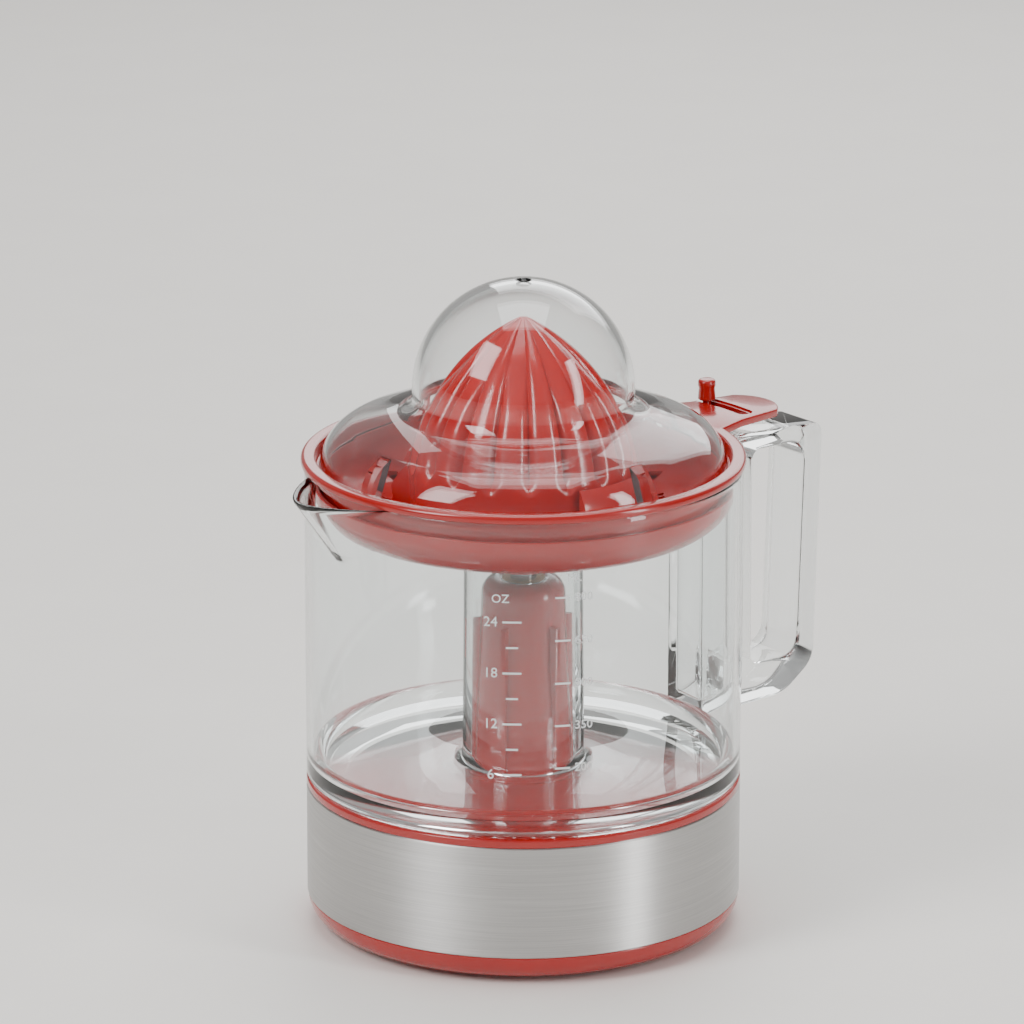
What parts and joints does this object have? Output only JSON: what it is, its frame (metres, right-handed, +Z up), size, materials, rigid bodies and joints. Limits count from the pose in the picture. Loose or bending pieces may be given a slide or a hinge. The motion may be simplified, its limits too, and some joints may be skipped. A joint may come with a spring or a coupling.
{
  "type": "citrus press juicer",
  "caption": "Electric citrus juicer: clear jug with handle and spout on a steel-banded base, red strainer with a pulp selector, ribbed reamer cone and clear domed lid.",
  "frame": {"origin": "on the spindle axis, in the plane the rubber feet stand on", "axes": "+Z up along the spindle, +X through the jug's handle, the spout at about 176 degrees"},
  "size_m": [0.1886, 0.1326, 0.1974],
  "materials": {
    "red_abs": "glossy moulded",
    "clear_plastic": "clear moulded",
    "brushed_band": "brushed around the band",
    "rubber": "matte",
    "screw_steel": "zinc plated",
    "ground_steel": "ground",
    "bronze": "sintered",
    "motor_steel": "plated sheet",
    "copper": "enamelled wire",
    "magnet": "ferrite",
    "gear_plastic": "moulded acetal",
    "plate_steel": "zinc plated sheet",
    "black_plastic": "moulded",
    "spring_steel": "drawn wire"
  },
  "bodies": {
    "base": {"base_pan": "red_abs", "pan_screws": "screw_steel", "rubber_feet": "rubber", "steel_band": "brushed_band", "motor_housing": "red_abs", "upper_bush": "bronze", "cord_gland": "rubber", "gear_plate": "plate_steel", "plate_screws": "screw_steel", "motor_can": "motor_steel", "motor_cap": "motor_steel", "motor_coil": "copper", "idler_pin": "ground_steel", "micro_switch": "black_plastic", "terminal_block": "black_plastic"},
    "rotor": {"rotor_magnet": "magnet", "motor_shaft": "ground_steel", "motor_pinion": "gear_plastic"},
    "idler": {"idler_gear": "gear_plastic"},
    "drive": {"drive_gear": "gear_plastic", "return_spring": "spring_steel"},
    "spindle": {"spindle": "ground_steel", "spindle_clip": "spring_steel"},
    "switch_button": {"switch_button": "red_abs"},
    "jug": {"jug": "clear_plastic", "jug_handle": "clear_plastic"},
    "strainer": {"strainer_bowl": "red_abs"},
    "selector": {"pulp_selector": "red_abs", "selector_peg": "red_abs"},
    "wiper": {"pulp_wiper": "red_abs"},
    "cone": {"cone": "red_abs", "cone_socket": "ground_steel"},
    "lid": {"lid": "clear_plastic"}
  },
  "joints": [
    {"name": "drive_spin", "type": "hinge", "parent": "base", "child": "drive", "pos_m": [0, 0, 0.034], "axis": [0, 0, 1], "continuous": true},
    {"name": "idler_spin", "type": "hinge", "parent": "base", "child": "idler", "pos_m": [-0.00417, 0.02364, 0.03], "axis": [0, 0, 1], "continuous": true},
    {"name": "rotor_spin", "type": "hinge", "parent": "base", "child": "rotor", "pos_m": [-0.02277, 0.01629, 0.014], "axis": [0, 0, 1], "continuous": true},
    {"name": "spindle_press", "type": "slide", "parent": "drive", "child": "spindle", "axis": [0, 0, 1], "range_m": [-0.002, 0], "stiffness_N_per_m": 1500, "springref_m": 0.003, "deforming": ["return_spring"]},
    {"name": "button_press", "type": "slide", "parent": "base", "child": "switch_button", "axis": [0, 0, 1], "range_m": [-0.002, 0], "stiffness_N_per_m": 150, "springref_m": 0.001},
    {"name": "jug_lift", "type": "slide", "parent": "base", "child": "jug", "axis": [0, 0, 1], "range_m": [0, 0.1]},
    {"name": "strainer_lift", "type": "slide", "parent": "jug", "child": "strainer", "axis": [0, 0, 1], "range_m": [0, 0.05]},
    {"name": "lid_lift", "type": "slide", "parent": "strainer", "child": "lid", "axis": [0, 0, 1], "range_m": [0, 0.078]},
    {"name": "pulp_turn", "type": "hinge", "parent": "strainer", "child": "selector", "pos_m": [0, 0, 0.122], "axis": [0, 0, 1], "range_deg": [-12, 0]},
    {"name": "wiper_spin", "type": "hinge", "parent": "strainer", "child": "wiper", "pos_m": [0, 0, 0.126], "axis": [0, 0, 1], "continuous": true},
    {"name": "cone_press", "type": "slide", "parent": "wiper", "child": "cone", "axis": [0, 0, 1], "range_m": [-0.002, 0]}
  ],
  "couplings": [
    {"joint": "idler_spin", "follows": "drive_spin", "ratio": -5},
    {"joint": "rotor_spin", "follows": "drive_spin", "ratio": 20},
    {"joint": "wiper_spin", "follows": "drive_spin", "ratio": 1},
    {"joint": "cone_press", "follows": "spindle_press", "ratio": 1},
    {"joint": "button_press", "follows": "spindle_press", "ratio": 1}
  ]
}
